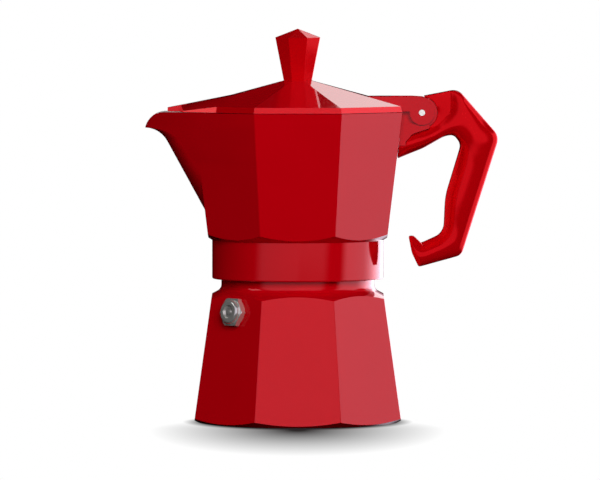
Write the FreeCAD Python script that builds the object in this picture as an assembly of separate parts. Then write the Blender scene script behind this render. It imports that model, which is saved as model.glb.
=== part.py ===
import FreeCAD, Part
import math
import os

# Stove-top moka pot, screwed together, lid shut. Millimetres, +Z up, origin on the table under the axis.
# The spout points to -X, the handle and the lid hinge to +X. All facets are octagon facets.

# Boiler
boiler_base_inset = 0.3
boiler_taper = 0.139
boiler_wall = 3.2
boiler_floor = 4.0
boiler_shoulder_z = 52.3
shoulder_slope = 0.517
base_bevel_height = 2.2
base_bevel_slope = 0.5
neck_lead = 0.4
neck_blend_radius = 3.0
facet_edge_radius = 0.8

# Screw thread between boiler and collar
thread_length = 11.6
thread_pitch = 4.0
thread_turns = 1.25
thread_core_radius = 30.7
thread_height = 1.1
thread_crest_width = 1.0
thread_root_width = 2.0
thread_clearance = 0.5
thread_sink = 0.15
thread_start = 2.6

# Upper chamber
collar_bottom_z = 58.4
collar_wall = 2.54
collar_height = 15.7
collar_edge_bevel = 0.6
underside_slope = 0.614
chamber_height = 52.2
chamber_step = 1.3
chamber_taper = 0.12
chamber_wall = 2.4
chamber_floor_thickness = 5.0
chamber_floor_rise = 3.0
dome_rise = 4.0

# Spout: a keel that leaves the facet, runs straight and flares into a beak
keel_start_below_rim = 40.4
keel_straight_height = 28.5
keel_slope = 0.547
keel_flare_radius = 10.4
beak_radius = 8.3
flare_steps = 6
flare_end_share = 0.976
straight_steps = 4
flank_lean_height = 22.3
flank_lean_reach = 8.2
flank_lean_power = 1.5
lip_opening = 0.2
spout_wall = 1.7

# Gasket, filter plate and funnel
gasket_thickness = 3.0
gasket_lap = 5.5
gasket_clearance = 0.3
plate_lap = 2.8
plate_thickness = 1.0
plate_clearance = 0.3
plate_hole_radius = 0.9
plate_hole_spacing = 4.4
funnel_seat_wall = 1.2
funnel_seat_width = 2.5
funnel_flange_thickness = 1.0
funnel_clearance = 0.3
funnel_basket_clearance = 0.6
funnel_wall = 0.8
funnel_basket_depth = 18.0
funnel_cone_height = 9.0
funnel_tube_radius = 4.6
funnel_foot_gap = 4.0
strainer_thickness = 0.8
strainer_hole_radius = 0.8
strainer_hole_spacing = 4.0

# Column in the chamber
column_radius = 6.5
column_tip_radius = 5.0
column_bore_radius = 3.2
column_below_rim = 9.0
column_cap_thickness = 2.0
column_slot_width = 4.0
column_slot_height = 4.5
column_tip_bevel = 2.0
column_tip_round = 1.5

# Lid
lid_gap = 0.2
lid_band = 2.1
lid_band_lean = 0.75
lid_roof_slope = 0.281
lid_shell = 1.8
prow_fold_inset = 15.4
prow_slope = 0.19
prow_root_inset = 9.4
prow_shoulder_reach = 4.1
prow_shoulder_y = 16.5
prow_shoulder_height = 0.42
prow_blunt_length = 1.5
nose_overlap = 6.0
nose_root_half_width = 6.0
nose_tip_half_width = 3.5
nose_reach = 10.5

# Knob and its fixing
knob_base_apothem = 5.7
knob_top_apothem = 9.1
knob_side_height = 17.5
knob_crown_height = 3.6
knob_edge_radius = 0.6
insert_radius = 2.8
insert_length = 9.0
knob_screw_radius = 1.5
knob_screw_head_radius = 3.0
knob_screw_head_height = 1.8
knob_washer_radius = 3.8
knob_washer_thickness = 0.6
knob_screw_bite = 8.0
screw_clearance = 0.1
screw_slot_width = 0.8
screw_slot_depth = 0.8

# Lid hinge
hinge_reach = 8.0
hinge_drop = 0.3
hinge_pin_radius = 1.25
hinge_pin_clearance = 0.05
ear_radius = 5.0
ear_outer_y = 8.0
ear_inner_y = 5.2
knuckle_radius = 6.2
knuckle_half_width = 4.6
knuckle_clearance = 0.4
arm_height = 6.6
arm_inset = 14.0
arm_ramp_length = 4.6
arm_notch = 0.9
arm_notch_slant = 4.5
arm_notch_band = 0.5

# Bracket and handle
bracket_tongue_half_width = 2.6
bracket_block_half_width = 7.2
bracket_foot_drop = 13.4
bracket_top_drop = 4.7
handle_half_width = 8.0
handle_web_half_width = 4.8
handle_edge_radius = 2.6
handle_grip_radius = 5.0
handle_arm_drop = 18.8
handle_wall_gap = 0.3
handle_fit = 0.15
handle_screw_radius = 1.4
handle_screw_head_radius = 2.7
handle_screw_head_height = 1.8
handle_screw_offset = 7.2
handle_screw_seat_drop = 7.6
handle_screw_length = 8.2
handle_screw_well_depth = 12.0

# Side outlines of the hinge and the handle: (across, up) or (across, up, corner radius) from the hinge pin
ear_outline = [(-4.0, 6.6, 8.0), (0.9, 6.3, 2.0), (5.0, 2.0, 1.5), (5.0, 0.0), (0.0, 0.0)]
bracket_edge = [(-6.6, -11.7), (-3.7, -8.6), (3.0, -6.3)]
tongue_outline = [(0.0, -6.0), (10.4, -5.0), (10.4, 4.0), (0.0, 6.0)]
handle_outline = [
    (1.0, 6.75), (14.8, 9.4, 5.2), (31.6, -9.8, 5.4), (16.25, -58.0, 4.0), (-1.3, -62.85),
    (-4.0, -57.2), (-5.4, -50.2), (-3.3, -50.2), (-0.3, -53.1), (8.8, -49.0, 6.0),
    (9.5, -34.0, 30.0), (15.9, -13.0, 4.0), (12.9, -9.0, 2.8), (9.1, -9.7, 8.0), (0.7, -14.5, 20.0),
]
scoop_outline = [
    (-15.0, 25.0), (12.0, 25.0), (11.6, 0.2, 4.0), (6.6, -5.2, 8.0), (-4.0, -8.9), (-15.0, -12.6),
]

# Places on the handle where its edges stay sharp: across from and to, up from and to
sharp_zones = [(-4.5, -1.0, -53.0, -49.0), (-12.0, -5.0, -20.0, -11.0), (-10.0, 3.2, -11.0, 10.0)]

# Place on the handle where its edges have the large radius of the grip
grip_zones = [(-12.0, 19.0, -52.8, -8.0)]

# Safety valve
valve_height = 45.7
valve_washer_radius = 5.4
valve_washer_thickness = 0.5
valve_hex_flats = 11.0
valve_hex_height = 2.2
valve_hex_turn = 15
valve_face_radius = 4.9
valve_face_height = 1.6
valve_face_round = 1.2
valve_hex_bevel = 0.4
valve_stub_radius = 3.9
valve_stub_protrusion = 1.7
valve_stub_clearance = 0.05
valve_bore_radius = 2.7
valve_orifice_radius = 1.3
valve_seat_thickness = 1.0
valve_cap_thickness = 1.0
valve_cap_recess = 0.8
valve_pin_radius = 1.0
valve_pin_clearance = 0.15
valve_pin_recess = 0.3
valve_seal_thickness = 0.8
valve_seal_clearance = 0.5
valve_head_thickness = 1.0
valve_head_clearance = 0.3
spring_wire_radius = 0.28
spring_mean_radius = 1.75
spring_turns = 3
spring_samples = 48
spring_end_gap = 0.1

# How far cutting shapes run past the faces they open
overrun = 1.0

# Levels and places that follow from the sizes above
cos_half = math.cos(math.radians(22.5))
diagonal = math.sqrt(0.5)
boiler_rim_z = collar_bottom_z + thread_length
gasket_seat_z = boiler_rim_z + gasket_thickness
plate_seat_z = gasket_seat_z + plate_thickness
collar_top_z = collar_bottom_z + collar_height
rim_z = collar_top_z + chamber_height
chamber_floor_z = plate_seat_z + dome_rise + chamber_floor_thickness - chamber_floor_rise
neck_radius = thread_core_radius + neck_lead
thread_ridge_radius = thread_core_radius + thread_height
collar_bore_radius = thread_ridge_radius + thread_clearance
collar_radius = collar_bore_radius + collar_wall
chamber_rim_apothem = collar_radius + chamber_step + chamber_taper * chamber_height
boiler_base_apothem = chamber_rim_apothem - boiler_base_inset
gasket_inner_radius = thread_core_radius - gasket_lap
plate_radius = gasket_inner_radius + plate_lap
funnel_seat_radius = thread_core_radius - funnel_seat_wall
funnel_flange_radius = funnel_seat_radius - funnel_clearance
mouth_radius = funnel_seat_radius - funnel_seat_width
funnel_basket_radius = mouth_radius - funnel_basket_clearance
prow_fold_x = chamber_rim_apothem - prow_fold_inset
prow_root_x = chamber_rim_apothem - prow_root_inset
prow_shoulder_x = chamber_rim_apothem + prow_shoulder_reach
nose_tip_x = chamber_rim_apothem + nose_reach
arm_start_x = chamber_rim_apothem - arm_inset
lid_base_z = rim_z + lid_gap
lid_edge_z = lid_base_z + lid_band
lid_apex_z = lid_edge_z + lid_roof_slope * chamber_rim_apothem
knob_seat_z = lid_apex_z - lid_roof_slope * knob_base_apothem
knob_top_z = knob_seat_z + knob_side_height
pin_x = chamber_rim_apothem + hinge_reach
pin_z = rim_z - hinge_drop
arm_top_z = pin_z + arm_height
bracket_foot_z = pin_z - bracket_foot_drop
bracket_top_z = pin_z - bracket_top_drop
handle_screw_x = pin_x + handle_screw_offset
handle_screw_seat_z = pin_z - handle_screw_seat_drop

# Keel of the spout: its straight run and the centre of the flare that follows
keel_lean = math.atan(keel_slope)
keel_start_z = rim_z - keel_start_below_rim
keel_start_x = -chamber_rim_apothem + chamber_taper * keel_start_below_rim
flare_start_z = keel_start_z + keel_straight_height
flare_start_x = keel_start_x - keel_straight_height * keel_slope
flare_centre_x = flare_start_x - keel_flare_radius * math.cos(keel_lean)
flare_centre_z = flare_start_z - keel_flare_radius * math.sin(keel_lean)

# Levels along the valve axis, from the facet outwards
valve_face_z = valve_washer_thickness + valve_hex_height + valve_face_height
valve_cap_top_z = valve_face_z - valve_cap_recess
valve_cap_z = valve_cap_top_z - valve_cap_thickness
valve_inner_z = -boiler_wall - valve_stub_protrusion
valve_seat_z = valve_inner_z + valve_seat_thickness
valve_head_z = valve_seat_z + valve_seal_thickness
spring_low_z = valve_head_z + valve_head_thickness + spring_end_gap
spring_high_z = valve_cap_z - spring_end_gap


def vector(x, y, z):
    return FreeCAD.Vector(x, y, z)


def rounded_corner_edges(points):
    """Edges of a closed outline. Each point is (place, radius), and its corner gets an arc of that radius."""
    count = len(points)
    joints = []
    for index, (place, radius) in enumerate(points):
        before = points[index - 1][0] - place
        after = points[(index + 1) % count][0] - place
        if radius == 0:
            joints.append((place, place, place))
            continue
        half_angle = before.getAngle(after) / 2
        before.normalize()
        after.normalize()
        reach = radius / math.tan(half_angle)
        middle = before + after
        middle.normalize()
        sagitta = radius / math.sin(half_angle) - radius
        joints.append((place + before * reach, place + middle * sagitta, place + after * reach))
    edges = []
    for index, (start, middle, end) in enumerate(joints):
        if start.distanceToPoint(end) > 1e-6:
            edges.append(Part.Arc(start, middle, end).toShape())
        following = joints[(index + 1) % count][0]
        if end.distanceToPoint(following) > 1e-6:
            edges.append(Part.LineSegment(end, following).toShape())
    return edges


def rounded_wire(points):
    return Part.Wire(rounded_corner_edges(points))


def revolved(profile):
    """Solid of revolution about Z from (radius, height) or (radius, height, corner radius) points."""
    points = []
    for point in profile:
        corner = point[2] if len(point) == 3 else 0
        points.append((vector(point[0], 0, point[1]), corner))
    face = Part.Face(rounded_wire(points))
    return face.revolve(vector(0, 0, 0), vector(0, 0, 1), 360)


def cylinder(radius, low_z, high_z):
    return Part.makeCylinder(radius, high_z - low_z, vector(0, 0, low_z))


def cross_cylinder(radius, half_length, x, z):
    """Cylinder along Y, centred on y = 0."""
    return Part.makeCylinder(radius, 2 * half_length, vector(x, -half_length, z), vector(0, 1, 0))


def plate(points, near_y, far_y):
    """Flat plate from an outline of (x, z) or (x, z, corner radius) points, between two Y levels."""
    outline = []
    for point in points:
        corner = point[2] if len(point) == 3 else 0
        outline.append((vector(point[0], near_y, point[1]), corner))
    face = Part.Face(rounded_wire(outline))
    return face.extrude(vector(0, far_y - near_y, 0))


def plate_pair(points, inner_y, outer_y):
    """The same plate on both sides of the middle plane."""
    return plate(points, inner_y, outer_y).fuse(plate(points, -outer_y, -inner_y))


def octagon_wire(apothem, z, edge_radius):
    corner = apothem / cos_half
    points = []
    for index in range(8):
        angle = math.radians(22.5 + 45 * index)
        points.append((vector(corner * math.cos(angle), corner * math.sin(angle), z), edge_radius))
    return rounded_wire(points)


def octagon_frustum(low_apothem, low_z, high_apothem, high_z, edge_radius):
    low = octagon_wire(low_apothem, low_z, edge_radius)
    high = octagon_wire(high_apothem, high_z, edge_radius)
    return Part.makeLoft([low, high], True, True)


def cut_above(shape, first, second, third):
    """Take away everything above the plane through three points."""
    normal = (second - first).cross(third - first)
    if normal.z < 0:
        normal = normal * -1
    normal.normalize()
    reach = 4 * chamber_rim_apothem
    cutter = Part.makeBox(2 * reach, 2 * reach, reach, vector(-reach, -reach, 0))
    cutter.Placement = FreeCAD.Placement(first, FreeCAD.Rotation(vector(0, 0, 1), normal))
    return shape.cut(cutter)


def helical_ridge(root_radius, crest_radius, start_z):
    """One thread ridge of thread_turns turns, with a trapezoid section between two radii."""
    helix = Part.makeHelix(thread_pitch, thread_pitch * thread_turns, root_radius)
    half_root = thread_root_width / 2
    half_crest = thread_crest_width / 2
    section = Part.makePolygon([
        vector(root_radius, 0, -half_root),
        vector(crest_radius, 0, -half_crest),
        vector(crest_radius, 0, half_crest),
        vector(root_radius, 0, half_root),
        vector(root_radius, 0, -half_root),
    ])
    ridge = Part.Wire(helix).makePipeShell([section], True, True)
    ridge.translate(vector(0, 0, start_z))
    return ridge


def boiler_apothem(z):
    return boiler_base_apothem - boiler_taper * z


def chamber_apothem(z):
    return chamber_rim_apothem - chamber_taper * (rim_z - z)


def valve_placement():
    """Frame whose Z axis is the outward normal of the valve's facet, with its origin on the facet."""
    lean = math.atan(boiler_taper)
    outward = vector(-diagonal * math.cos(lean), -diagonal * math.cos(lean), math.sin(lean))
    apothem = boiler_apothem(valve_height)
    origin = vector(-diagonal * apothem, -diagonal * apothem, valve_height)
    return FreeCAD.Placement(origin, FreeCAD.Rotation(vector(0, 0, 1), outward))


def on_valve_axis(shape):
    shape.Placement = valve_placement().multiply(shape.Placement)
    return shape


def make_boiler():
    apothem_top = boiler_apothem(boiler_rim_z)
    blank = octagon_frustum(boiler_base_apothem, 0, apothem_top, boiler_rim_z, facet_edge_radius)
    shoulder_radius = boiler_apothem(boiler_shoulder_z)
    outer_radius = boiler_base_apothem / cos_half + overrun
    shoulder_outer_z = boiler_shoulder_z - (outer_radius - shoulder_radius) * shoulder_slope
    neck_foot_z = boiler_shoulder_z + (shoulder_radius - neck_radius) * shoulder_slope
    bevel_top_radius = boiler_apothem(base_bevel_height) / cos_half
    bevel_foot_radius = bevel_top_radius - base_bevel_height / base_bevel_slope
    envelope = revolved([
        (0, 0),
        (bevel_foot_radius, 0),
        (bevel_top_radius, base_bevel_height),
        (outer_radius, base_bevel_height),
        (outer_radius, shoulder_outer_z),
        (neck_radius, neck_foot_z, neck_blend_radius),
        (neck_radius, collar_bottom_z),
        (thread_core_radius, collar_bottom_z),
        (thread_core_radius, boiler_rim_z),
        (0, boiler_rim_z),
    ])
    body = blank.common(envelope)
    ridge_root = thread_core_radius - thread_sink
    body = body.fuse(helical_ridge(ridge_root, thread_ridge_radius, collar_bottom_z + thread_start))
    inner_top_z = boiler_shoulder_z - boiler_wall
    mouth_foot_z = boiler_shoulder_z + boiler_wall / 2
    flange_seat_z = boiler_rim_z - funnel_flange_thickness
    hollow = revolved([
        (0, boiler_floor),
        (boiler_apothem(boiler_floor) - boiler_wall, boiler_floor, boiler_wall),
        (boiler_apothem(inner_top_z) - boiler_wall, inner_top_z, boiler_wall / 2),
        (mouth_radius, mouth_foot_z, boiler_wall / 2),
        (mouth_radius, flange_seat_z),
        (funnel_seat_radius, flange_seat_z),
        (funnel_seat_radius, boiler_rim_z + overrun),
        (0, boiler_rim_z + overrun),
    ])
    stub_radius = valve_stub_radius + valve_stub_clearance
    valve_hole = on_valve_axis(cylinder(stub_radius, -2 * boiler_wall, boiler_wall))
    return body.cut(hollow).cut(valve_hole)


def flank_tip_x(z):
    """Where the flanks of the spout would meet: the tip of the diagonal facets, moved out towards the rim."""
    rise = max(z - rim_z + flank_lean_height, 0) / flank_lean_height
    return -chamber_apothem(z) / diagonal - flank_lean_reach * rise ** flank_lean_power


def spout_section(keel_x, z, inset):
    """Outline of the spout at one level: a flank on from each diagonal facet, and a round keel."""
    apothem = chamber_apothem(z) - inset
    half_facet = apothem * math.tan(math.radians(22.5)) - facet_edge_radius / 2
    root = vector(-diagonal * (apothem - half_facet), -diagonal * (apothem + half_facet), z)
    tip = vector(flank_tip_x(z) + inset / diagonal, 0, z)
    flank = root - tip
    half_angle = math.atan2(-flank.y, flank.x)
    keel_radius = (keel_x - tip.x) / (1 / math.sin(half_angle) - 1)
    flank.normalize()
    touch = tip + flank * (keel_radius / math.tan(half_angle))
    other_touch = vector(touch.x, -touch.y, z)
    other_root = vector(root.x, -root.y, z)
    return Part.Wire([
        Part.Arc(touch, vector(keel_x, 0, z), other_touch).toShape(),
        Part.LineSegment(other_touch, other_root).toShape(),
        Part.LineSegment(other_root, root).toShape(),
        Part.LineSegment(root, touch).toShape(),
    ])


def spout_hull(inset, lip_advance):
    """Spout body up to the rim, drawn in all round by inset, with the lip of its keel moved out."""
    sections = []
    low_z = keel_start_z - keel_straight_height / straight_steps
    keel_inset = inset / math.cos(keel_lean)
    for step in range(straight_steps):
        z = low_z + (flare_start_z - low_z) * step / straight_steps
        keel_x = keel_start_x - (z - keel_start_z) * keel_slope + keel_inset
        sections.append(spout_section(keel_x, z, inset))
    flare_radius = keel_flare_radius + inset
    for step in range(flare_steps + 1):
        share = step / flare_steps
        angle = keel_lean + (math.pi / 2 - keel_lean) * flare_end_share * share
        keel_x = flare_centre_x + flare_radius * math.cos(angle) - lip_advance * share
        keel_z = flare_centre_z + flare_radius * math.sin(angle)
        sections.append(spout_section(keel_x, keel_z, inset))
    sections.append(spout_section(keel_x, rim_z + inset, inset))
    return Part.makeLoft(sections, True, True)


def make_upper_chamber():
    blank = octagon_frustum(
        chamber_apothem(collar_top_z), collar_top_z, chamber_rim_apothem, rim_z, facet_edge_radius)
    wide = 2 * chamber_rim_apothem
    envelope = revolved([
        (0, collar_top_z),
        (collar_radius, collar_top_z),
        (wide, collar_top_z + (wide - collar_radius) * underside_slope),
        (wide, rim_z),
        (0, rim_z),
    ])
    collar = revolved([
        (0, collar_bottom_z),
        (collar_radius, collar_bottom_z, collar_edge_bevel),
        (collar_radius, collar_top_z),
        (0, collar_top_z),
    ])
    body = blank.common(envelope).fuse(collar)
    body = body.fuse(beaked_spout()).fuse(hinge_bracket())
    body = body.cut(chamber_hollow()).cut(collar_hollow())
    ridge_root = collar_bore_radius + thread_sink
    ridge_crest = thread_core_radius + thread_clearance
    ridge_z = collar_bottom_z + thread_start + thread_pitch / 2
    body = body.fuse(helical_ridge(ridge_root, ridge_crest, ridge_z))
    return body.removeSplitter()


def beaked_spout():
    """Outer body of the spout, rounded off at the front by the beak."""
    hull = spout_hull(0, 0)
    beak_x = flare_centre_x + beak_radius
    beak_z = rim_z - beak_radius
    front = Part.makeBox(
        3 * beak_radius, 2 * chamber_rim_apothem, 2 * beak_radius,
        vector(beak_x - 3 * beak_radius, -chamber_rim_apothem, beak_z))
    return hull.cut(front.cut(cross_cylinder(beak_radius, chamber_rim_apothem, beak_x, beak_z)))


def chamber_hollow():
    """Coffee space: octagonal well with a coned floor, and the channel of the spout."""
    floor_apothem = chamber_apothem(chamber_floor_z) - chamber_wall
    top_z = rim_z + chamber_wall
    well = octagon_frustum(
        floor_apothem, chamber_floor_z, chamber_apothem(top_z) - chamber_wall, top_z, facet_edge_radius)
    below = Part.makeBox(
        4 * chamber_rim_apothem, 4 * chamber_rim_apothem, chamber_floor_z,
        vector(-2 * chamber_rim_apothem, -2 * chamber_rim_apothem, 0))
    channel = spout_hull(spout_wall, lip_opening).cut(below)
    rise = Part.makeCone(
        floor_apothem - chamber_wall, column_radius, chamber_floor_rise, vector(0, 0, chamber_floor_z))
    return well.fuse(channel).cut(rise)


def collar_hollow():
    """Thread bore, gasket seat, recess of the filter plate, dome under the floor and seat of the column."""
    plate_bore = plate_radius + plate_clearance
    dome_z = plate_seat_z + dome_rise
    return revolved([
        (0, collar_bottom_z - overrun),
        (collar_bore_radius, collar_bottom_z - overrun),
        (collar_bore_radius, gasket_seat_z),
        (plate_bore, gasket_seat_z),
        (plate_bore, plate_seat_z),
        (gasket_inner_radius, plate_seat_z),
        (column_radius + dome_rise / 2, dome_z),
        (column_radius, dome_z),
        (column_radius, chamber_floor_z + 2 * chamber_floor_rise),
        (0, chamber_floor_z + 2 * chamber_floor_rise),
    ])


def wall_x(z):
    """Middle of the chamber wall on the handle side."""
    return chamber_apothem(z) - chamber_wall / 2


def from_pin(points):
    """Outline points given from the hinge pin, with their corner radii kept."""
    return [(pin_x + point[0], pin_z + point[1]) + tuple(point[2:]) for point in points]


def hinge_bracket():
    """Bracket cast on the chamber: knuckle for the pin, block under the lid ears, tongue for the handle."""
    edge = from_pin(bracket_edge)
    lower_side = [(wall_x(bracket_foot_z), bracket_foot_z), (edge[0][0], bracket_foot_z)] + edge
    inner_corner = (wall_x(bracket_top_z), bracket_top_z)
    outer_x = edge[-1][0]
    block_outline = lower_side + [(outer_x, bracket_top_z), inner_corner]
    block = plate(block_outline, -bracket_block_half_width, bracket_block_half_width)
    block = block.cut(cross_cylinder(ear_radius + knuckle_clearance, ear_outer_y, pin_x, pin_z))
    web_outline = lower_side + [(outer_x, pin_z), (pin_x, pin_z), (pin_x, rim_z), (wall_x(rim_z), rim_z)]
    web = plate(web_outline, -knuckle_half_width, knuckle_half_width)
    knuckle = cross_cylinder(knuckle_radius, knuckle_half_width, pin_x, pin_z)
    tongue = plate(from_pin(tongue_outline), -bracket_tongue_half_width, bracket_tongue_half_width)
    bracket = block.fuse(web).fuse(knuckle).fuse(tongue)
    bracket = bracket.cut(cross_cylinder(hinge_pin_radius, ear_outer_y, pin_x, pin_z))
    return bracket.cut(handle_screw_shape(0)).removeSplitter()


def handle_screw_shape(clearance):
    """Handle screw from below: head in the handle, shank into the tongue, grown by a clearance."""
    head_foot = vector(handle_screw_x, 0, handle_screw_seat_z - handle_screw_head_height)
    head = Part.makeCylinder(handle_screw_head_radius + clearance, handle_screw_head_height, head_foot)
    seat = vector(handle_screw_x, 0, handle_screw_seat_z)
    return head.fuse(Part.makeCylinder(handle_screw_radius + clearance, handle_screw_length, seat))


def screw_slot(x, low_z, head_radius):
    """Driver slot across a screw head, open downwards."""
    corner = vector(x - head_radius, -screw_slot_width / 2, low_z)
    return Part.makeBox(2 * head_radius, screw_slot_width, screw_slot_depth, corner)


def in_zones(place, zones):
    """Whether a place lies in one of the zones given from the hinge pin."""
    across = place.x - pin_x
    up = place.z - pin_z
    return any(left < across < right and low < up < high for left, right, low, high in zones)


def side_edges(body, zones, inside):
    """Edges on the two sides of the handle, in or out of the zones, and never in the sharp ones."""
    edges = []
    for edge in body.Edges:
        middle = edge.CenterOfMass
        on_side = abs(abs(middle.y) - handle_half_width) < handle_fit
        if on_side and in_zones(middle, zones) == inside and not in_zones(middle, sharp_zones):
            edges.append(edge)
    return edges


def arm_end():
    """End of the handle's arm: along the chamber wall and the bracket's foot."""
    low_z = pin_z - handle_arm_drop
    high_z = bracket_foot_z - handle_fit
    return [
        (chamber_apothem(low_z) + handle_wall_gap, low_z),
        (chamber_apothem(high_z) + handle_wall_gap, high_z),
        (pin_x + bracket_edge[0][0] + handle_fit, high_z),
    ]


def make_handle():
    """Moulded handle: rounded side outline, scooped for the lid ears and slotted for the bracket."""
    fitted_edge = [(x + handle_fit, z - handle_fit) for x, z in bracket_edge]
    outline = from_pin(handle_outline) + arm_end() + from_pin(fitted_edge)
    body = plate(outline, -handle_half_width, handle_half_width)
    body = body.makeFillet(handle_edge_radius, side_edges(body, grip_zones, False))
    body = body.makeFillet(handle_grip_radius, side_edges(body, grip_zones, True))
    scoop = plate_pair(from_pin(scoop_outline), handle_web_half_width, 2 * handle_half_width)
    body = body.cut(scoop)
    body = body.cut(cross_cylinder(knuckle_radius + handle_fit, handle_half_width, pin_x, pin_z))
    slot_face = Part.Face(rounded_wire([(vector(x, 0, z), 0) for x, z in from_pin(tongue_outline)]))
    slot_half_width = bracket_tongue_half_width + handle_fit
    slot = slot_face.makeOffset2D(handle_fit, 2)
    slot.translate(vector(0, -slot_half_width, 0))
    body = body.cut(slot.extrude(vector(0, 2 * slot_half_width, 0)))
    well_top = vector(handle_screw_x, 0, handle_screw_seat_z)
    well_radius = handle_screw_head_radius + screw_clearance
    well = Part.makeCylinder(well_radius, handle_screw_well_depth, well_top, vector(0, 0, -1))
    return body.cut(well).cut(handle_screw_shape(screw_clearance))


def make_handle_screw():
    head_foot_z = handle_screw_seat_z - handle_screw_head_height
    return handle_screw_shape(0).cut(screw_slot(handle_screw_x, head_foot_z, handle_screw_head_radius))


def make_hinge_pin():
    return cross_cylinder(hinge_pin_radius, ear_outer_y, pin_x, pin_z)


def make_column():
    """Hollow column pressed into the chamber floor, closed on top, with two side slots."""
    foot_z = plate_seat_z + dome_rise
    seat_top_z = chamber_floor_z + chamber_floor_rise
    top_z = rim_z - column_below_rim
    body = revolved([
        (column_bore_radius, foot_z),
        (column_radius, foot_z),
        (column_radius, seat_top_z),
        (column_tip_radius, top_z - column_tip_bevel, column_tip_round),
        (column_tip_radius - column_tip_bevel, top_z),
        (0, top_z),
        (0, top_z - column_cap_thickness),
        (column_bore_radius, top_z - column_cap_thickness),
    ])
    slot_z = top_z - column_cap_thickness - column_slot_height
    slot_corner = vector(-column_slot_width / 2, -column_radius, slot_z)
    return body.cut(Part.makeBox(column_slot_width, 2 * column_radius, column_slot_height, slot_corner))


def make_gasket():
    outer = cylinder(collar_bore_radius - gasket_clearance, boiler_rim_z, gasket_seat_z)
    return outer.cut(cylinder(gasket_inner_radius, boiler_rim_z - overrun, gasket_seat_z + overrun))


def perforated(disc, spacing, reach, radius):
    """Disc with round holes in a triangular grid inside a circle of the given reach."""
    low_z = disc.BoundBox.ZMin - overrun
    height = disc.BoundBox.ZLength + 2 * overrun
    row_height = spacing * math.sqrt(0.75)
    rows = int(reach / row_height)
    columns = int(reach / spacing) + 1
    holes = []
    for row in range(-rows, rows + 1):
        for column in range(-columns, columns + 1):
            x = (column + 0.5 * (row % 2)) * spacing
            y = row * row_height
            if math.hypot(x, y) <= reach:
                holes.append(Part.makeCylinder(radius, height, vector(x, y, low_z)))
    return disc.cut(Part.makeCompound(holes))


def make_filter_plate():
    disc = cylinder(plate_radius, gasket_seat_z, plate_seat_z)
    reach = gasket_inner_radius - plate_hole_spacing / 2
    return perforated(disc, plate_hole_spacing, reach, plate_hole_radius)


def make_funnel():
    """Coffee basket with a rim flange, a coned floor and the tube that reaches down into the water."""
    flange_z = boiler_rim_z - funnel_flange_thickness
    ledge_z = boiler_rim_z - funnel_basket_depth
    cone_z = ledge_z - funnel_cone_height
    foot_z = boiler_floor + funnel_foot_gap
    inner_radius = funnel_basket_radius - funnel_wall
    ledge_radius = inner_radius - 2 * funnel_wall
    bore_radius = funnel_tube_radius - funnel_wall
    return revolved([
        (bore_radius, foot_z),
        (funnel_tube_radius, foot_z),
        (funnel_tube_radius, cone_z - funnel_wall / 2),
        (ledge_radius + funnel_wall / 2, ledge_z - funnel_wall),
        (funnel_basket_radius, ledge_z - funnel_wall),
        (funnel_basket_radius, flange_z),
        (funnel_flange_radius, flange_z),
        (funnel_flange_radius, boiler_rim_z),
        (inner_radius, boiler_rim_z),
        (inner_radius, ledge_z),
        (ledge_radius, ledge_z),
        (bore_radius, cone_z),
    ])


def make_funnel_strainer():
    ledge_z = boiler_rim_z - funnel_basket_depth
    radius = funnel_basket_radius - funnel_wall - funnel_clearance
    disc = cylinder(radius, ledge_z, ledge_z + strainer_thickness)
    reach = radius - 2 * funnel_wall - strainer_hole_spacing / 2
    return perforated(disc, strainer_hole_spacing, reach, strainer_hole_radius)


def lid_roof_z(distance):
    """Height of the lid roof at a distance from the axis, measured square to a facet."""
    return lid_apex_z - lid_roof_slope * distance


def upright(half_plan, low_z):
    """Block with upright sides over a plan given by the (x, y) points of one half."""
    plan = [vector(x, -y, low_z) for x, y in half_plan]
    plan += [vector(x, y, low_z) for x, y in reversed(half_plan)]
    return Part.Face(Part.makePolygon(plan + plan[:1])).extrude(vector(0, 0, lid_apex_z - low_z))


def leaned(block, half_plan, low_z):
    """Lean the sides of a block inwards as the lid's band leans, over the (x, y) points of one half."""
    for start, end in zip(half_plan, half_plan[1:]):
        along = vector(end[0] - start[0], end[1] - start[1], 0)
        along.normalize()
        for side in (-1, 1):
            first = vector(start[0], side * start[1], low_z)
            second = vector(end[0], side * end[1], low_z)
            inward = vector(-along.y, side * along.x, 0) * lid_band_lean
            block = cut_above(block, first, second, first + inward + vector(0, 0, lid_band))
    return block


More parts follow.
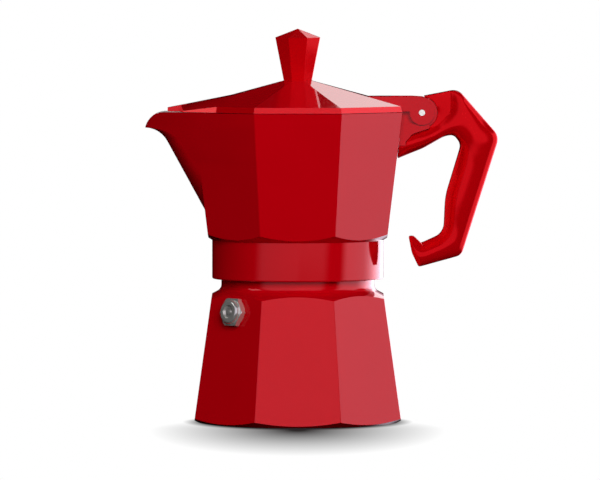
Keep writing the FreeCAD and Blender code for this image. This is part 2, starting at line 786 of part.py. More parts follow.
def lid_form(inset, drop):
    """Octagon and prow of the lid. The hollow is the same form drawn in by inset and lowered by drop."""
    apothem = chamber_rim_apothem - inset
    low_z = lid_base_z - drop
    edge_apothem = apothem - lid_band_lean
    edge_z = lid_roof_z(edge_apothem) - drop
    edge_radius = facet_edge_radius / 2
    band = octagon_frustum(apothem, low_z, edge_apothem, edge_z, edge_radius)
    roof = octagon_frustum(edge_apothem, edge_z, knob_base_apothem, knob_seat_z - drop, edge_radius)
    fold_y = prow_fold_x * math.tan(math.radians(22.5))
    fold_z = lid_roof_z(prow_fold_x) - drop
    root_y = chamber_rim_apothem / diagonal - prow_root_x
    prow_plan = [
        (-prow_fold_x + inset, fold_y - inset / 2),
        (-prow_root_x + inset, root_y - inset),
        (-prow_shoulder_x + inset, prow_shoulder_y - inset),
        (-prow_shoulder_x - prow_blunt_length + inset, nose_root_half_width - inset / 2),
    ]
    zone = upright(prow_plan, low_z)
    prow = leaned(zone, prow_plan[1:], low_z)
    for side in (-1, 1):
        on_fold = vector(-prow_fold_x, side * fold_y, fold_z)
        on_root = vector(-prow_root_x, side * root_y, lid_edge_z - drop)
        on_shoulder = vector(-prow_shoulder_x, side * prow_shoulder_y, low_z + prow_shoulder_height)
        prow = cut_above(prow, on_fold, on_root, on_shoulder)
    nose_plan = [
        (-prow_shoulder_x + nose_overlap, nose_root_half_width - inset / 2),
        (-nose_tip_x + inset, nose_tip_half_width - inset / 2),
    ]
    nose = leaned(upright(nose_plan, low_z), nose_plan, low_z)
    ridge_start = vector(-prow_fold_x, 0, fold_z)
    ridge_end = vector(-nose_tip_x, 0, fold_z - prow_slope * (nose_tip_x - prow_fold_x))
    ridge_side = vector(-prow_fold_x, fold_y, fold_z)
    prow = cut_above(prow, ridge_start, ridge_end, ridge_side)
    nose = cut_above(nose, ridge_start, ridge_end, ridge_side)
    octagon = band.fuse(roof).cut(zone.cut(prow))
    return octagon.fuse(prow).fuse(nose)


def make_lid():
    """Thin lid with a prow over the spout and a forked arm that carries the hinge ears."""
    arm_outline = [
        (arm_start_x, lid_base_z),
        (arm_start_x, lid_roof_z(arm_start_x)),
        (arm_start_x + arm_ramp_length, arm_top_z),
    ]
    arm_outline += from_pin(ear_outline) + [(pin_x, lid_base_z)]
    arm = plate(arm_outline, -ear_outer_y, ear_outer_y)
    arm = arm.fuse(cross_cylinder(ear_radius, ear_outer_y, pin_x, pin_z))
    notch_x = chamber_rim_apothem - arm_notch
    notch_end_x = pin_x + 2 * ear_radius
    notch_low_z = lid_base_z - 2 * ear_radius
    notch_high_z = arm_top_z + overrun
    notch = plate([
        (notch_x, notch_low_z),
        (notch_x, lid_edge_z + arm_notch_band),
        (notch_x - arm_notch_slant, notch_high_z),
        (notch_end_x, notch_high_z),
        (notch_end_x, notch_low_z),
    ], -ear_inner_y, ear_inner_y)
    hollow = lid_form(lid_shell, lid_shell)
    lid = lid_form(0, 0).fuse(arm).cut(hollow).cut(notch)
    pin_bore_radius = hinge_pin_radius + hinge_pin_clearance
    lid = lid.cut(cross_cylinder(pin_bore_radius, 2 * ear_outer_y, pin_x, pin_z))
    screw_hole = cylinder(knob_screw_radius + screw_clearance, lid_base_z, knob_top_z)
    return lid.cut(screw_hole).removeSplitter()


def make_knob():
    side = octagon_frustum(knob_base_apothem, knob_seat_z, knob_top_apothem, knob_top_z, knob_edge_radius)
    top = octagon_wire(knob_top_apothem, knob_top_z, knob_edge_radius)
    crown = Part.makeLoft([top, Part.Vertex(0, 0, knob_top_z + knob_crown_height)], True, True)
    return side.fuse(crown).cut(cylinder(insert_radius, knob_seat_z - overrun, knob_seat_z + insert_length))


def make_knob_insert():
    outer = cylinder(insert_radius, knob_seat_z, knob_seat_z + insert_length)
    bore = cylinder(knob_screw_radius, knob_seat_z - overrun, knob_seat_z + insert_length + overrun)
    return outer.cut(bore)


def make_knob_washer():
    top_z = knob_seat_z - lid_shell
    ring = cylinder(knob_washer_radius, top_z - knob_washer_thickness, top_z)
    return ring.cut(cylinder(knob_screw_radius + screw_clearance, top_z - overrun, top_z + overrun))


def make_knob_screw():
    seat_z = knob_seat_z - lid_shell - knob_washer_thickness
    head_foot_z = seat_z - knob_screw_head_height
    head = cylinder(knob_screw_head_radius, head_foot_z, seat_z)
    shank = cylinder(knob_screw_radius, seat_z, knob_seat_z + knob_screw_bite)
    return head.fuse(shank).cut(screw_slot(0, head_foot_z, knob_screw_head_radius))


def make_valve_body():
    """Hexagon with a round face outside the boiler, and a stub through the wall that ends in the seat."""
    hex_top_z = valve_washer_thickness + valve_hex_height
    corner = valve_hex_flats / 2 / math.cos(math.radians(30))
    corners = []
    for index in range(7):
        angle = math.radians(60 * index + valve_hex_turn)
        corners.append(vector(corner * math.cos(angle), corner * math.sin(angle), valve_washer_thickness))
    hexagon = Part.Face(Part.makePolygon(corners)).extrude(vector(0, 0, valve_hex_height))
    bevel = revolved([
        (0, 0),
        (corner, 0),
        (corner, hex_top_z - valve_hex_bevel),
        (corner - valve_hex_bevel, hex_top_z),
        (0, hex_top_z),
    ])
    face = revolved([
        (0, valve_washer_thickness),
        (valve_face_radius, valve_washer_thickness),
        (valve_face_radius, valve_face_z, valve_face_round),
        (0, valve_face_z),
    ])
    stub = cylinder(valve_stub_radius, valve_inner_z, valve_washer_thickness)
    body = hexagon.common(bevel).fuse(face).fuse(stub)
    body = body.cut(cylinder(valve_bore_radius, valve_seat_z, valve_face_z + overrun))
    return on_valve_axis(body.cut(cylinder(valve_orifice_radius, valve_inner_z - overrun, valve_face_z)))


def make_valve_washer():
    ring = cylinder(valve_washer_radius, 0, valve_washer_thickness)
    hole = cylinder(valve_stub_radius + valve_stub_clearance, -overrun, valve_washer_thickness + overrun)
    return on_valve_axis(ring.cut(hole))


def make_valve_cap():
    disc = cylinder(valve_bore_radius, valve_cap_z, valve_cap_top_z)
    hole = cylinder(valve_pin_radius + valve_pin_clearance, valve_cap_z - overrun, valve_face_z)
    return on_valve_axis(disc.cut(hole))


def make_valve_seal():
    return on_valve_axis(cylinder(valve_bore_radius - valve_seal_clearance, valve_seat_z, valve_head_z))


def make_valve_plunger():
    head_radius = valve_bore_radius - valve_head_clearance
    head = cylinder(head_radius, valve_head_z, valve_head_z + valve_head_thickness)
    pin = cylinder(valve_pin_radius, valve_head_z, valve_face_z - valve_pin_recess)
    return on_valve_axis(head.fuse(pin))


def make_valve_spring():
    """Coil of round wire, swept along quarter-turn arcs."""
    low = spring_low_z + spring_wire_radius
    rise = (spring_high_z - spring_low_z - 2 * spring_wire_radius) / spring_turns

    def centre(turn):
        angle = 2 * math.pi * turn
        across = spring_mean_radius * math.cos(angle)
        return vector(across, spring_mean_radius * math.sin(angle), low + rise * turn)

    arcs = []
    for quarter in range(4 * spring_turns):
        turn = quarter / 4
        arcs.append(Part.Arc(centre(turn), centre(turn + 1 / 8), centre(turn + 1 / 4)).toShape())
    tangent = arcs[0].tangentAt(arcs[0].FirstParameter)
    section = Part.Wire(Part.makeCircle(spring_wire_radius, centre(0), tangent))
    points = [centre(step / spring_samples) for step in range(2 * spring_samples + 1)]
    apart = min(points[0].distanceToPoint(point) for point in points[spring_samples // 2:])
    print("valve spring, least gap to itself", round(apart - 2 * spring_wire_radius, 3), "mm")
    return on_valve_axis(Part.Wire(arcs).makePipeShell([section], True, False))


makers = {
    "boiler": make_boiler,
    "valve_body": make_valve_body,
    "valve_washer": make_valve_washer,
    "valve_cap": make_valve_cap,
    "valve_plunger": make_valve_plunger,
    "valve_seal": make_valve_seal,
    "valve_spring": make_valve_spring,
    "funnel": make_funnel,
    "funnel_strainer": make_funnel_strainer,
    "gasket": make_gasket,
    "filter_plate": make_filter_plate,
    "upper_chamber": make_upper_chamber,
    "column": make_column,
    "handle": make_handle,
    "handle_screw": make_handle_screw,
    "hinge_pin": make_hinge_pin,
    "lid": make_lid,
    "knob": make_knob,
    "knob_insert": make_knob_insert,
    "knob_screw": make_knob_screw,
    "knob_washer": make_knob_washer,
}

os.makedirs("parts", exist_ok=True)
for name, maker in makers.items():
    shape = maker()
    state = "valid" if shape.isValid() else "INVALID"
    print(name, state, len(shape.Solids), "solid", round(shape.Volume, 1), "mm3")
    shape.exportStep("parts/" + name + ".step")
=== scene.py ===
"""Stove-top moka pot: finishes, moulded handle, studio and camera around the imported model. Metres, +Z up."""
import bmesh
import bpy
import math
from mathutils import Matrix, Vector
from mathutils.bvhtree import BVHTree


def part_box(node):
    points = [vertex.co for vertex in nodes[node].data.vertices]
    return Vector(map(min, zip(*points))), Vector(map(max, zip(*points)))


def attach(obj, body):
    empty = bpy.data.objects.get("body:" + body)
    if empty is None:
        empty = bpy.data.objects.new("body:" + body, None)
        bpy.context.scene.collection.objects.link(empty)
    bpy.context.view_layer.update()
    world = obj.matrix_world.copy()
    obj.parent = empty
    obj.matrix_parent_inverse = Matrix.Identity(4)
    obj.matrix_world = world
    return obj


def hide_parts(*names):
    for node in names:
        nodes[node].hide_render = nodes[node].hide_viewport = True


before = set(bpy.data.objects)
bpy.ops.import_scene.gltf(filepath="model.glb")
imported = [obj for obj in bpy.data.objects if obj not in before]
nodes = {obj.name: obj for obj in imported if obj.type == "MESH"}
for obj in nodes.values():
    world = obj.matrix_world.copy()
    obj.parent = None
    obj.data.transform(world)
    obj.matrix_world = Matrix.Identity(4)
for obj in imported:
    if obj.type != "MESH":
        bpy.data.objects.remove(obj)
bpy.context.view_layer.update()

MM = 0.001

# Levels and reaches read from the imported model
jug_low, jug_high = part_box("upper_chamber")
pin_low, pin_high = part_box("hinge_pin")
jug_half_width = jug_high.y
column_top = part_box("column")[1].z
funnel_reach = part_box("funnel")[1].x
gasket_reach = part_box("gasket")[1].x
# The collar's bore is this much wider than the gasket in it
collar_slack = 0.5 * MM
collar_bore = gasket_reach + collar_slack

# The lacquer wraps over the spout's lip by this much
lip_wrap = 5 * MM
# The lid's hinge side is lacquered all round. It starts this far inside the jug's width
hinge_wrap = 2 * MM

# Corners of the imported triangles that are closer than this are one
merge_distance = 0.001 * MM
# How far a face may stray from a level, or from facing sideways, and still count as lying there
level_slack = 0.1 * MM
facing_slack = 0.05
# Upward share of a normal from which a face counts as level, and the one from which it leans as the
# lid's rim does
level_facing = 0.5
rim_lean = 0.1
# Edges sharper than this keep a crease in the shading
sharp_edge = math.radians(18)


def linear(hex_colour):
    """sRGB hex colour as linear red, green, blue and alpha."""
    channels = []
    for start in (0, 2, 4):
        value = int(hex_colour[start:start + 2], 16) / 255
        channels.append(value / 12.92 if value <= 0.04045 else ((value + 0.055) / 1.055) ** 2.4)
    return (*channels, 1.0)


def add(tree, kind, inputs=None, **settings):
    """Add a node with its settings. Inputs are values, or sockets to link."""
    made = tree.nodes.new(kind)
    for name, value in settings.items():
        setattr(made, name, value)
    for name, value in (inputs or {}).items():
        if isinstance(value, bpy.types.NodeSocket):
            tree.links.new(value, made.inputs[name])
        else:
            made.inputs[name].default_value = value
    return made


def empty_material(name):
    """Material with no nodes yet, and the coordinates of the object it is on, in metres."""
    material = bpy.data.materials.new(name)
    material.use_nodes = True
    tree = material.node_tree
    tree.nodes.clear()
    return material, tree, add(tree, "ShaderNodeTexCoord").outputs["Object"]


def surface(name, colours, cloud, roughness, grain, depth, **sockets):
    """Finish whose colour and roughness drift in soft clouds, over a grain of a real spacing and depth."""
    material, tree, place = empty_material(name)
    clouds = add(tree, "ShaderNodeTexNoise", {"Vector": place, "Scale": 1 / cloud, "Detail": 3.0})
    drift = clouds.outputs["Fac"]
    tint = add(
        tree, "ShaderNodeMix", {0: drift, 6: linear(colours[0]), 7: linear(colours[1])},
        data_type="RGBA")
    gloss = add(tree, "ShaderNodeMapRange", {
        "Value": drift, "To Min": roughness[0], "To Max": roughness[1]})
    lumps = add(tree, "ShaderNodeTexNoise", {"Vector": place, "Scale": 1 / grain, "Detail": 2.0})
    bump = add(tree, "ShaderNodeBump", {
        "Height": lumps.outputs["Fac"], "Distance": depth, "Strength": 1.0})
    shader = add(tree, "ShaderNodeBsdfPrincipled", {
        "Base Color": tint.outputs[2],
        "Roughness": gloss.outputs["Result"],
        "Normal": bump.outputs["Normal"],
    })
    for socket, value in sockets.items():
        shader.inputs[socket.replace("_", " ")].default_value = value
    if "Coat_Weight" in sockets:
        tree.links.new(bump.outputs["Normal"], shader.inputs["Coat Normal"])
    add(tree, "ShaderNodeOutputMaterial", {"Surface": shader.outputs["BSDF"]})
    return material


def turned_underside():
    """Lathe-turned aluminium: fine rings about the pot's axis catch the light."""
    material, tree, place = empty_material("turned_aluminium")
    # The real tool marks are about 0.15 mm apart, drawn at 0.6 mm so that they show
    ring_spacing = 0.6 * MM
    ring_depth = 0.01 * MM
    flat = add(tree, "ShaderNodeVectorMath", {0: place, 1: (1, 1, 0)}, operation="MULTIPLY")
    radius = add(tree, "ShaderNodeVectorMath", {0: flat.outputs["Vector"]}, operation="LENGTH")
    turns = add(
        tree, "ShaderNodeMath", {0: radius.outputs["Value"], 1: 2 * math.pi / ring_spacing},
        operation="MULTIPLY")
    wave = add(tree, "ShaderNodeMath", {0: turns.outputs["Value"]}, operation="SINE")
    rings = add(tree, "ShaderNodeMapRange", {
        "Value": wave.outputs["Value"], "From Min": -1.0, "From Max": 1.0})
    height = rings.outputs["Result"]
    tint = add(
        tree, "ShaderNodeMix", {0: height, 6: linear("C6C6C3"), 7: linear("DADAD7")},
        data_type="RGBA")
    gloss = add(tree, "ShaderNodeMapRange", {"Value": height, "To Min": 0.28, "To Max": 0.40})
    bump = add(tree, "ShaderNodeBump", {"Height": height, "Distance": ring_depth, "Strength": 1.0})
    shader = add(tree, "ShaderNodeBsdfPrincipled", {
        "Base Color": tint.outputs[2],
        "Roughness": gloss.outputs["Result"],
        "Normal": bump.outputs["Normal"],
        "Metallic": 0.5,
    })
    add(tree, "ShaderNodeOutputMaterial", {"Surface": shader.outputs["BSDF"]})
    return material


# Clear red lacquer on polished cast aluminium: deep red under a thin white gloss with a faint orange peel
lacquer = surface(
    "red_lacquer_on_cast_aluminium", colours=("D80012", "D0000E"), cloud=18 * MM,
    roughness=(0.12, 0.17), grain=1.6 * MM, depth=0.002 * MM,
    Metallic=0.18, Specular_IOR_Level=0.0, Coat_Weight=1.0, Coat_IOR=1.5, Coat_Roughness=0.04)
# The same lacquer, brighter and more metallic on the lid's leaning rim: a painted highlight, a tinted shine
# along the rim
lacquer_painted_rim_highlight = surface(
    "red_lacquer_painted_rim_highlight", colours=("FA0012", "F2000E"), cloud=18 * MM,
    roughness=(0.12, 0.17), grain=1.6 * MM, depth=0.002 * MM,
    Metallic=0.5, Specular_IOR_Level=0.0, Coat_Weight=1.0, Coat_IOR=1.5, Coat_Roughness=0.04)
# The metals that show keep some matte body, because full metal would only mirror the studio's dark cloth.
# Bare cast aluminium inside: grey-white, cloudy, with the mould's fine grit
cast = surface(
    "cast_aluminium", colours=("C4C4C0", "D8D8D4"), cloud=9 * MM,
    roughness=(0.36, 0.50), grain=0.7 * MM, depth=0.03 * MM, Metallic=0.35)
# Pressed aluminium sheet: smoother and brighter, with soft rolling marks
pressed = surface(
    "pressed_aluminium", colours=("CACAC6", "DCDCD9"), cloud=9 * MM,
    roughness=(0.26, 0.36), grain=1.6 * MM, depth=0.03 * MM, Metallic=0.45)
# Lathe-turned underside of the boiler: grey rings that shimmer
turned = turned_underside()
# Bright nickel plating on turned brass: almost white, with small crisp highlights
nickel = surface(
    "nickel_plated_brass", colours=("F0EEE8", "FEFCF8"), cloud=2.5 * MM,
    roughness=(0.09, 0.14), grain=0.5 * MM, depth=0.003 * MM, Metallic=0.8)
# Zinc plating on steel screws: cooler grey, slightly cloudy
zinc = surface(
    "zinc_plated_steel", colours=("A9ABAD", "C3C5C6"), cloud=2.5 * MM,
    roughness=(0.26, 0.34), grain=0.5 * MM, depth=0.004 * MM, Metallic=1.0)
# Steel of the hinge pin, near-white and hardly metallic: a painted glint on its cut end
steel_painted_glint = surface(
    "steel_painted_glint", colours=("FCFCFA", "FFFFFF"), cloud=2.5 * MM,
    roughness=(0.32, 0.40), grain=0.5 * MM, depth=0.004 * MM, Metallic=0.05)
# Turned brass: warm yellow with soft tool marks
brass = surface(
    "turned_brass", colours=("B5893C", "C99D4C"), cloud=2.5 * MM,
    roughness=(0.24, 0.32), grain=0.5 * MM, depth=0.004 * MM, Metallic=1.0)
# Gloss moulded thermoplastic, dyed through: even red, a clean gloss and faint sink marks
plastic = surface(
    "gloss_moulded_plastic", colours=("E2000E", "DA000A"), cloud=14 * MM,
    roughness=(0.14, 0.20), grain=7 * MM, depth=0.012 * MM,
    Metallic=0.28, IOR=1.5, Specular_IOR_Level=0.12)
# The same plastic on the handle, brighter and more metallic: a painted sheen, a deep red that flares where it
# turns to the light
plastic_painted_sheen = surface(
    "moulded_plastic_painted_sheen", colours=("EE0010", "E6000C"), cloud=14 * MM,
    roughness=(0.05, 0.08), grain=7 * MM, depth=0.006 * MM,
    Metallic=0.45, IOR=1.5, Specular_IOR_Level=0.2)
# Moulded silicone rubber: milky, matte, slightly mottled
silicone = surface(
    "moulded_silicone", colours=("D9D6CC", "E6E3DA"), cloud=3 * MM,
    roughness=(0.50, 0.62), grain=0.8 * MM, depth=0.01 * MM, IOR=1.41)


def away_from_axis(place, normal):
    """How much a face looks away from the pot's axis: 1 straight out, -1 straight in."""
    outward = Vector((place.x, place.y, 0))
    return outward.normalized().dot(normal) if outward.length > level_slack else 0


def boiler_finish(place, normal):
    """Lacquer outside, bare metal inside and on the thread, turned metal underneath."""
    if place.z < level_slack and normal.z < 0:
        return 2
    reach = math.hypot(place.x, place.y)
    inside = away_from_axis(place, normal) < -facing_slack or reach < funnel_reach
    on_thread = place.z > jug_low.z + level_slack
    return 1 if inside or on_thread else 0


def jug_finish(place, normal):
    """Lacquer outside, on the rim and over the lip, bare metal in the coffee space and inside the collar."""
    if place.x > jug_half_width - level_slack or place.x < jug_low.x + lip_wrap:
        return 0
    reach = math.hypot(place.x, place.y)
    in_collar = reach < collar_bore and place.z > jug_low.z + level_slack
    on_rim = normal.z > level_facing and place.z > column_top
    in_well = away_from_axis(place, normal) < facing_slack and normal.z > -level_facing
    return 1 if in_collar or in_well and not on_rim else 0


def lid_finish(place, normal):
    """Lacquer outside, a painted highlight on the leaning rim, bare metal underneath."""
    if place.x > jug_half_width - hinge_wrap:
        return 0
    # Faces that lean as the rim does take the brighter lacquer: a painted highlight
    if rim_lean < normal.z < level_facing and away_from_axis(place, normal) > 0:
        return 2
    looks_down = normal.z < -facing_slack
    looks_in = away_from_axis(place, normal) < -facing_slack and abs(normal.z) < facing_slack
    return 1 if looks_down or looks_in else 0


def merged_copy(node):
    """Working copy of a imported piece's mesh with its loose triangles joined."""
    work = bmesh.new()
    work.from_mesh(nodes[node].data)
    bmesh.ops.remove_doubles(work, verts=work.verts, dist=merge_distance)
    return work


def placed(work, name):
    """Object of a finished working mesh."""
    mesh = bpy.data.meshes.new(name)
    work.to_mesh(mesh)
    work.free()
    piece = bpy.data.objects.new(name, mesh)
    bpy.context.scene.collection.objects.link(piece)
    return piece


def dressed(node, materials, finish_of, body):
    """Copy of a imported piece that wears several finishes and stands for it."""
    work = merged_copy(node)
    for face in work.faces:
        face.smooth = True
        face.material_index = finish_of(face.calc_center_median(), face.normal)
    for edge in work.edges:
        edge.smooth = edge.calc_face_angle(0) < sharp_edge
    piece = placed(work, node + "_dressed")
    for material in materials:
        piece.data.materials.append(material)
    # The large faces set the shading, so that the small rounds beside them don't tilt it
    even = piece.modifiers.new("even_shading", "WEIGHTED_NORMAL")
    even.mode = "FACE_AREA"
    even.weight = 100
    even.keep_sharp = True
    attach(piece, body)
    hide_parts(node)


def shaped(piece):
    """Mesh of a piece with its modifiers applied."""
    ready = piece.evaluated_get(bpy.context.evaluated_depsgraph_get())
    return bpy.data.meshes.new_from_object(ready)


# The moulded handle: fineness of its skin, middle of its grip opening, and how far from the pin its sides
# stay flat
skin_depth = 8
grip_middle = Vector((50, 0, 92)) * MM
flat_drop = 9 * MM
flat_reach = 14 * MM
flat_fade = 10 * MM
# Band on the handle's edges, off its middle, from which the roll of the sides is measured. A face whose
# normal leans further to the side than this is no edge, and neither is one that lies this far on the jug's
# side of the pin
edge_band = (3.2 * MM, 4.5 * MM)
edge_lean = 0.35
bracket_reach = 3 * MM
# Reach of the roll from each edge, and the share of the half width that it takes away there
inner_roll = {"reach": 6.6 * MM, "share": 0.64}
outer_roll = {"reach": 9.0 * MM, "share": 0.34}
# The cheeks beside the lid's ears lie this far off the middle, and the sides slope down to them over this
# reach
cheek = 4.8 * MM
cheek_slope = {"reach": 6.0 * MM, "share": 1.0}
# Smoothing: rounds that ease the sides alone, rounds that polish the whole skin, and how strongly each
# works on the slope to the cheeks
easing_rounds = 140
polish_rounds = 30
slope_easing = 4
slope_polish = 0.25


def roll_share(place):
    """How much of its roll a place on the handle gets: none around the pin, all of it on the grip."""
    below = pin_low.z - flat_drop - place.z
    beyond = place.x - pin_high.x - flat_reach
    return min(max(below, beyond, 0) / flat_fade, 1)


def lost_share(edge, place, reach, share):
    """Share of the half width that a roll takes away at a place, by its distance from an edge."""
    distance = edge.find_nearest(place)[3]
    return share * max(1 - distance / reach, 0) ** 2


def handle_edges(mesh):
    """Search trees of the faces on the handle's inner edge, its outer edge and the walls of its cheeks."""
    inner_faces, outer_faces, cheek_walls = [], [], []
    for face in mesh.polygons:
        off_middle = abs(face.center.y)
        at_bracket = face.center.x < pin_low.x - bracket_reach and face.center.z > grip_middle.z
        if abs(face.normal.y) > edge_lean or at_bracket:
            continue
        rolls = roll_share(face.center) > 0
        if rolls and edge_band[0] < off_middle < edge_band[1]:
            looks_in = face.normal.dot(grip_middle - face.center) > 0
            (inner_faces if looks_in else outer_faces).append(list(face.vertices))
        if not rolls and off_middle > cheek and face.normal.dot(pin_low - face.center) > 0:
            cheek_walls.append(list(face.vertices))
    places = [point.co.copy() for point in mesh.vertices]
    kinds = (inner_faces, outer_faces, cheek_walls)
    return [BVHTree.FromPolygons(places, faces) for faces in kinds]


def moulded_handle():
    """Handle with sides that roll off to its edges and slope to its cheeks. Its side outline stays."""
    piece = placed(merged_copy("handle"), "handle_moulded")
    skin = piece.modifiers.new("skin", "REMESH")
    skin.mode = "SHARP"
    skin.octree_depth = skin_depth
    mesh = shaped(piece)
    piece.modifiers.clear()
    piece.data = mesh
    for face in mesh.polygons:
        face.use_smooth = True
    inner_edge, outer_edge, cheek_edge = handle_edges(mesh)
    eased = piece.vertex_groups.new(name="eased")
    polished = piece.vertex_groups.new(name="polished")
    for point in mesh.vertices:
        place = point.co.copy()
        side = math.copysign(1, place.y)
        probe = Vector((place.x, side * sum(edge_band) / 2, place.z))
        lost = lost_share(inner_edge, probe, **inner_roll)
        lost += lost_share(outer_edge, probe, **outer_roll)
        rolled = easing = roll_share(place)
        half_width = abs(place.y) * (1 - rolled * lost)
        if half_width > cheek:
            sloped = lost_share(cheek_edge, place, **cheek_slope)
            half_width -= (half_width - cheek) * sloped
            easing = max(rolled, min(slope_easing * sloped, 1))
        point.co.y = side * half_width
        eased.add([point.index], easing, "REPLACE")
        polished.add([point.index], max(rolled, slope_polish * easing), "REPLACE")
    ease = piece.modifiers.new("ease", "SMOOTH")
    ease.factor = 0.5
    ease.iterations = easing_rounds
    ease.use_x = False
    ease.use_z = False
    ease.vertex_group = "eased"
    polish = piece.modifiers.new("polish", "SMOOTH")
    polish.factor = 0.5
    polish.iterations = polish_rounds
    polish.vertex_group = "polished"
    mesh = shaped(piece)
    piece.modifiers.clear()
    piece.vertex_groups.clear()
    piece.data = mesh
    mesh.materials.clear()
    # The handle wears the brighter plastic: a painted sheen
    mesh.materials.append(plastic_painted_sheen)
    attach(piece, "jug")
    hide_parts("handle")


dressed("boiler", [lacquer, cast, turned], boiler_finish, "base")
dressed("upper_chamber", [lacquer, cast], jug_finish, "jug")
dressed("lid", [lacquer, cast, lacquer_painted_rim_highlight], lid_finish, "lid_set")
moulded_handle()

finishes = {
    "valve_body": nickel, "valve_washer": nickel, "valve_cap": nickel, "valve_plunger": nickel,
    "valve_seal": silicone, "valve_spring": zinc,
    "funnel": pressed, "funnel_strainer": pressed, "gasket": silicone, "filter_plate": pressed,
    # The hinge pin's near-white steel is a painted glint
    "column": cast, "handle_screw": zinc, "hinge_pin": steel_painted_glint,
    "knob": plastic, "knob_insert": brass, "knob_screw": zinc, "knob_washer": zinc,
}
for node, material in finishes.items():
    nodes[node].data.materials[0] = material


# Studio: a card under the pot with a painted shadow, white to the eye further out, dark cloth with two windows
# in reflections
white = "FFFFFF"
# Dark grey of the painted shadow under the pot
painted_shadow_grey = "3C3C3C"
card_radius = 0.42
card_drop = 0.05 * MM
# Painted shadow on the card: a wide one that reaches towards the camera, and a narrow one at the pot's foot
wide_painted_shadow = {
    "middle_y": -0.050, "half_x": 0.059, "front": 0.155, "back": 0.075, "start": 0.05, "end": 1.0}
foot_painted_shadow = {
    "middle_y": 0.0, "half_x": 0.047, "front": 0.055, "back": 0.045, "start": 0.82, "end": 1.0}
# Windows in the cloth. Turns run from the front to the right in degrees, and heights are the upward share of
# the direction. Each pair says where the light starts and where it is full
tent_radius = 4.0
window_colour = "F6ECFF"
front_window = {"turns": [(-62, -46), (46, 32)], "heights": [(-0.14, 0.04), (0.74, 0.62)]}
right_window = {"turns": [(58, 72), (176, 159)], "heights": [(-0.55, -0.25), (0.62, 0.50)]}
right_glare = {"turns": [(96, 138)], "heights": [(0.35, 0.20)]}
front_level = 0.55
right_level = 1.2
glare_level = 2.8
# Room light: where its bright side starts and is full, to the right and downwards, and its dim and bright
# levels
bright_side = (-0.05, 0.10)
bright_top = (0.60, 0.45)
dim_level = 0.15
bright_level = 0.50
# Height on the pot that the soft boxes look at
middle_height = 0.07


def seen_by(tree, *kinds):
    """1 for rays of the given kinds, 0 for others."""
    rays = add(tree, "ShaderNodeLightPath").outputs
    seen = rays[kinds[0]]
    for kind in kinds[1:]:
        seen = add(
            tree, "ShaderNodeMath", {0: seen, 1: rays[kind]}, operation="MAXIMUM").outputs["Value"]
    return seen


def soft_area(tree, *edges):
    """1 where every value is past its soft edge, 0 where one falls short. An edge is (value, start, end)."""
    share = 1.0
    for value, start, end in edges:
        edge = add(
            tree, "ShaderNodeMapRange", {"Value": value, "From Min": start, "From Max": end},
            interpolation_type="SMOOTHSTEP")
        share = add(
            tree, "ShaderNodeMath", {0: share, 1: edge.outputs["Result"]},
            operation="MULTIPLY").outputs["Value"]
    return share


def window(tree, turn, height, turns, heights):
    """Soft-edged window in the cloth: 1 inside it, 0 outside."""
    sides = [(turn, math.radians(start), math.radians(end)) for start, end in turns]
    levels = [(height, start, end) for start, end in heights]
    return soft_area(tree, *sides, *levels)


def painted_shadow_patch(tree, place, middle_y, half_x, front, back, start, end):
    """Painted shadow: 0 in the middle of an egg-shaped patch on the card, 1 outside it."""
    parts = add(tree, "ShaderNodeSeparateXYZ", {"Vector": place}).outputs
    across = add(tree, "ShaderNodeMath", {0: parts["X"], 1: half_x}, operation="DIVIDE")
    way_back = add(
        tree, "ShaderNodeMath", {0: parts["Y"], 1: middle_y}, operation="SUBTRACT").outputs["Value"]
    ahead = add(tree, "ShaderNodeMath", {0: way_back, 1: -front}, operation="DIVIDE")
    behind = add(tree, "ShaderNodeMath", {0: way_back, 1: back}, operation="DIVIDE")
    along = add(
        tree, "ShaderNodeMath", {0: ahead.outputs["Value"], 1: behind.outputs["Value"]},
        operation="MAXIMUM")
    flat = add(tree, "ShaderNodeCombineXYZ", {
        "X": across.outputs["Value"], "Y": along.outputs["Value"]})
    distance = add(tree, "ShaderNodeVectorMath", {0: flat.outputs["Vector"]}, operation="LENGTH")
    return add(tree, "ShaderNodeMapRange", {
        "Value": distance.outputs["Value"], "From Min": start, "From Max": end}).outputs["Result"]


def staged(work, material, name):
    """Stage object of a finished working mesh."""
    piece = placed(work, name)
    piece.data.materials.append(material)
    return piece


def card():
    """Round matte card that takes the pot's real shadow and a painted shadow under it, and fades to the white
    of the background to the eye.
    """
    material, tree, place = empty_material("card_with_painted_shadow")
    clear_of_painted_shadow = add(
        tree, "ShaderNodeMath",
        {0: painted_shadow_patch(tree, place, **wide_painted_shadow), 1: painted_shadow_patch(tree, place, **foot_painted_shadow)},
        operation="MULTIPLY")
    share = add(
        tree, "ShaderNodeMath",
        {0: clear_of_painted_shadow.outputs["Value"], 1: seen_by(tree, "Is Camera Ray", "Is Transmission Ray")},
        operation="MULTIPLY")
    # The dark grey paper shows the painted shadow; the white glow covers it further out for the eye
    painted_shadow_paper = add(tree, "ShaderNodeBsdfDiffuse", {"Color": linear(painted_shadow_grey)})
    glow = add(tree, "ShaderNodeEmission", {"Color": linear(white), "Strength": 1.0})
    mixed = add(tree, "ShaderNodeMixShader", {
        0: share.outputs["Value"], 1: painted_shadow_paper.outputs["BSDF"], 2: glow.outputs["Emission"]})
    add(tree, "ShaderNodeOutputMaterial", {"Surface": mixed.outputs["Shader"]})
    work = bmesh.new()
    bmesh.ops.create_circle(work, cap_ends=True, segments=96, radius=card_radius)
    bmesh.ops.translate(work, verts=work.verts, vec=(0, 0, -card_drop))
    staged(work, material, "card").visible_glossy = False


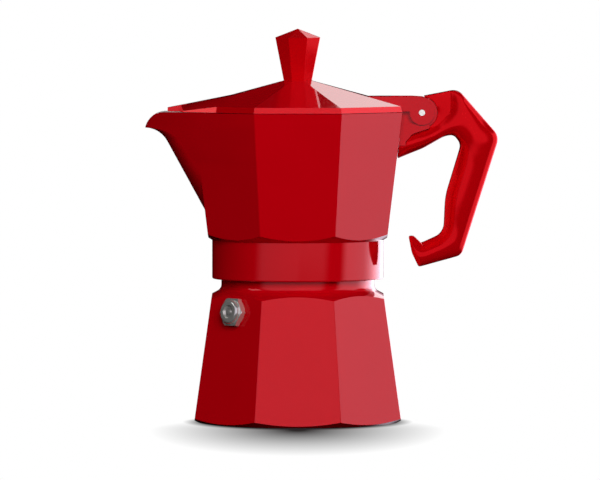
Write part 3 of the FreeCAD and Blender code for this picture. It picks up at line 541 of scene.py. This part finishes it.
def tent():
    """Dark cloth that shows in reflections alone, with a dim window in front and a white one on the right."""
    material, tree, place = empty_material("dark_cloth_with_windows")
    way = add(tree, "ShaderNodeVectorMath", {0: place}, operation="NORMALIZE")
    parts = add(tree, "ShaderNodeSeparateXYZ", {"Vector": way.outputs["Vector"]}).outputs
    ahead = add(tree, "ShaderNodeMath", {0: parts["Y"], 1: -1.0}, operation="MULTIPLY")
    turn = add(
        tree, "ShaderNodeMath", {0: parts["X"], 1: ahead.outputs["Value"]},
        operation="ARCTAN2").outputs["Value"]
    height = parts["Z"]
    front = add(
        tree, "ShaderNodeMath", {0: window(tree, turn, height, **front_window), 1: front_level},
        operation="MULTIPLY")
    brightness = add(
        tree, "ShaderNodeMath",
        {0: window(tree, turn, height, **right_glare), 1: glare_level, 2: right_level},
        operation="MULTIPLY_ADD")
    level = add(
        tree, "ShaderNodeMath",
        {
            0: window(tree, turn, height, **right_window),
            1: brightness.outputs["Value"],
            2: front.outputs["Value"],
        },
        operation="MULTIPLY_ADD")
    glow = add(tree, "ShaderNodeEmission", {
        "Color": linear(window_colour), "Strength": level.outputs["Value"]})
    add(tree, "ShaderNodeOutputMaterial", {"Surface": glow.outputs["Emission"]})
    work = bmesh.new()
    bmesh.ops.create_uvsphere(work, u_segments=64, v_segments=32, radius=tent_radius)
    piece = staged(work, material, "tent")
    for kind in ("camera", "diffuse", "shadow", "transmission"):
        setattr(piece, "visible_" + kind, False)


def room():
    """Room light: bright on the right up to a set height, dim elsewhere, but white to the eye and in gloss."""
    world = bpy.data.worlds.new("studio")
    bpy.context.scene.world = world
    world.use_nodes = True
    tree = world.node_tree
    tree.nodes.clear()
    way = add(tree, "ShaderNodeTexCoord").outputs["Generated"]
    parts = add(tree, "ShaderNodeSeparateXYZ", {"Vector": way}).outputs
    right = soft_area(tree, (parts["X"], *bright_side), (parts["Z"], *bright_top))
    level = add(tree, "ShaderNodeMapRange", {
        "Value": right, "To Min": dim_level, "To Max": bright_level})
    seen = seen_by(tree, "Is Camera Ray", "Is Glossy Ray", "Is Transmission Ray")
    strength = add(tree, "ShaderNodeMix", {"Factor": seen, "A": level.outputs["Result"], "B": 1.0})
    light = add(tree, "ShaderNodeBackground", {
        "Color": linear(white), "Strength": strength.outputs["Result"]})
    add(tree, "ShaderNodeOutputWorld", {"Surface": light.outputs["Background"]})


def soft_box(name, turn, climb, distance, size, watts, shines_in_gloss):
    """Square soft box that looks at the pot's middle. Turn is from the front to the right, in degrees."""
    turn = math.radians(turn)
    climb = math.radians(climb)
    way = Vector((
        math.sin(turn) * math.cos(climb), -math.cos(turn) * math.cos(climb), math.sin(climb)))
    light = bpy.data.lights.new(name, "AREA")
    light.shape = "SQUARE"
    light.size = size
    light.energy = watts
    holder = bpy.data.objects.new(name, light)
    holder.location = Vector((0, 0, middle_height)) + distance * way
    holder.rotation_euler = (-way).to_track_quat("-Z", "Y").to_euler()
    holder.visible_camera = False
    holder.visible_glossy = shines_in_gloss
    bpy.context.scene.collection.objects.link(holder)


card()
tent()
room()
soft_box(
    "front_soft_box", turn=8, climb=20, distance=1.8, size=0.9, watts=22, shines_in_gloss=False)
soft_box(
    "back_left_soft_box", turn=-140, climb=25, distance=1.8, size=0.9, watts=9, shines_in_gloss=False)
soft_box(
    "back_right_soft_box", turn=134, climb=2, distance=2.0, size=1.1, watts=16, shines_in_gloss=False)
soft_box(
    "high_back_soft_box", turn=166, climb=25, distance=1.95, size=0.75, watts=2.5, shines_in_gloss=True)
soft_box(
    "left_soft_box", turn=-74, climb=30, distance=2.5, size=0.8, watts=2.4, shines_in_gloss=True)

# Camera: almost level, from far off, at the photograph's angle
camera_place = Vector((0.0009, -3.3, 0.213))
camera_aim = Vector((0.0009, 0, 0.074))
camera = bpy.data.objects.new("camera", bpy.data.cameras.new("camera"))
camera.location = camera_place
camera.rotation_euler = (camera_aim - camera_place).to_track_quat("-Z", "Y").to_euler()
camera.data.sensor_width = 36
camera.data.lens = 487
camera.data.clip_end = 50
bpy.context.scene.collection.objects.link(camera)
bpy.context.scene.camera = camera
bpy.context.scene.view_settings.view_transform = "Standard"
